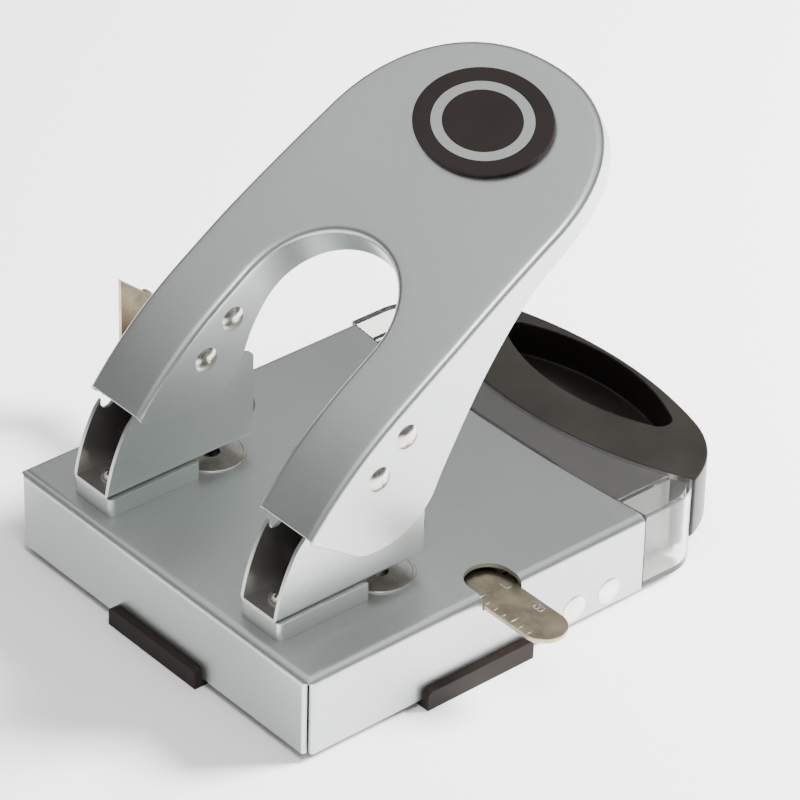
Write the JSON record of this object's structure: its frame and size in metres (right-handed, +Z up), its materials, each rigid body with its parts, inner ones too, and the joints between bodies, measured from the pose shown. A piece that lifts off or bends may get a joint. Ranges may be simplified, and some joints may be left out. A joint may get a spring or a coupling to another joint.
{
  "type": "hole punch",
  "caption": "Heavy-duty lever punch for filing holes, with a pressed steel wishbone handle, a sliding paper guide and a pull-out chip drawer.",
  "frame": {"origin": "on the table, under the front wall of the base, in the symmetry plane of the two heads", "axes": "+Z up, +X towards the round end of the paper guide, +Y from the handle's hinge side towards the chip drawer"},
  "size_m": [0.2016, 0.189, 0.151],
  "materials": {
    "cover_paint": "silver-grey metallic paint, satin",
    "handle_paint": "silver-grey metallic paint, satin",
    "nickel": "nickel plate, bright",
    "guide_nickel": "nickel plate, lightly grained",
    "rivet_alloy": "smooth",
    "steel": "ground",
    "zinc": "zinc plated sheet",
    "spring_steel": "drawn wire",
    "guide_nylon": "moulded",
    "rubber": "matt",
    "pad_brown": "glossy",
    "pad_silver": "satin",
    "clear_plastic": "clear moulded polystyrene",
    "black_plastic": "fine satin texture"
  },
  "bodies": {
    "base": {"base_cover": "cover_paint", "die_plate": "steel", "left_plinth": "cover_paint", "right_plinth": "cover_paint", "left_bracket": "cover_paint", "right_bracket": "cover_paint", "bracket_screws": "nickel", "left_die": "nickel", "right_die": "nickel", "left_punch_guide": "guide_nylon", "right_punch_guide": "guide_nylon", "front_foot": "rubber", "left_foot": "rubber", "right_foot": "rubber", "rear_feet": "rubber", "left_rail": "zinc", "right_rail": "zinc", "rail_rivets": "rivet_alloy", "guide_channel": "zinc", "guide_spring": "spring_steel", "spring_rivets": "cover_paint", "left_spring": "spring_steel", "right_spring": "spring_steel"},
    "lever": {"handle": "handle_paint", "left_pivot_pin": "nickel", "right_pivot_pin": "nickel", "left_drive_pin": "nickel", "right_drive_pin": "nickel", "pivot_spacers": "zinc", "thumb_pad": "pad_brown", "thumb_pad_ring": "pad_silver"},
    "punch_left": {"left_punch": "steel"},
    "punch_right": {"right_punch": "steel"},
    "guide": {"paper_guide": "guide_nickel"},
    "drawer": {"chip_tray": "clear_plastic", "drawer_grip": "black_plastic"}
  },
  "joints": [
    {"name": "lever_press", "type": "hinge", "parent": "base", "child": "lever", "pos_m": [0, 0.0405, 0.0741], "axis": [-1, 0, 0], "range_deg": [0, 40], "stiffness_Nm_per_rad": 1, "springref_deg": -22.92},
    {"name": "punch_left_slide", "type": "slide", "parent": "base", "child": "punch_left", "axis": [0, 0, -1], "range_m": [0, 0.0092], "deforming": ["left_spring"]},
    {"name": "punch_right_slide", "type": "slide", "parent": "base", "child": "punch_right", "axis": [0, 0, -1], "range_m": [0, 0.0092], "deforming": ["right_spring"]},
    {"name": "guide_slide", "type": "slide", "parent": "base", "child": "guide", "axis": [-1, 0, 0], "range_m": [-0.031, 0.0435]},
    {"name": "drawer_slide", "type": "slide", "parent": "base", "child": "drawer", "axis": [0, 1, 0], "range_m": [0, 0.085]}
  ],
  "couplings": [
    {"joint": "punch_left_slide", "follows": "lever_press", "m_per_rad": 0.013},
    {"joint": "punch_right_slide", "follows": "lever_press", "m_per_rad": 0.013}
  ]
}
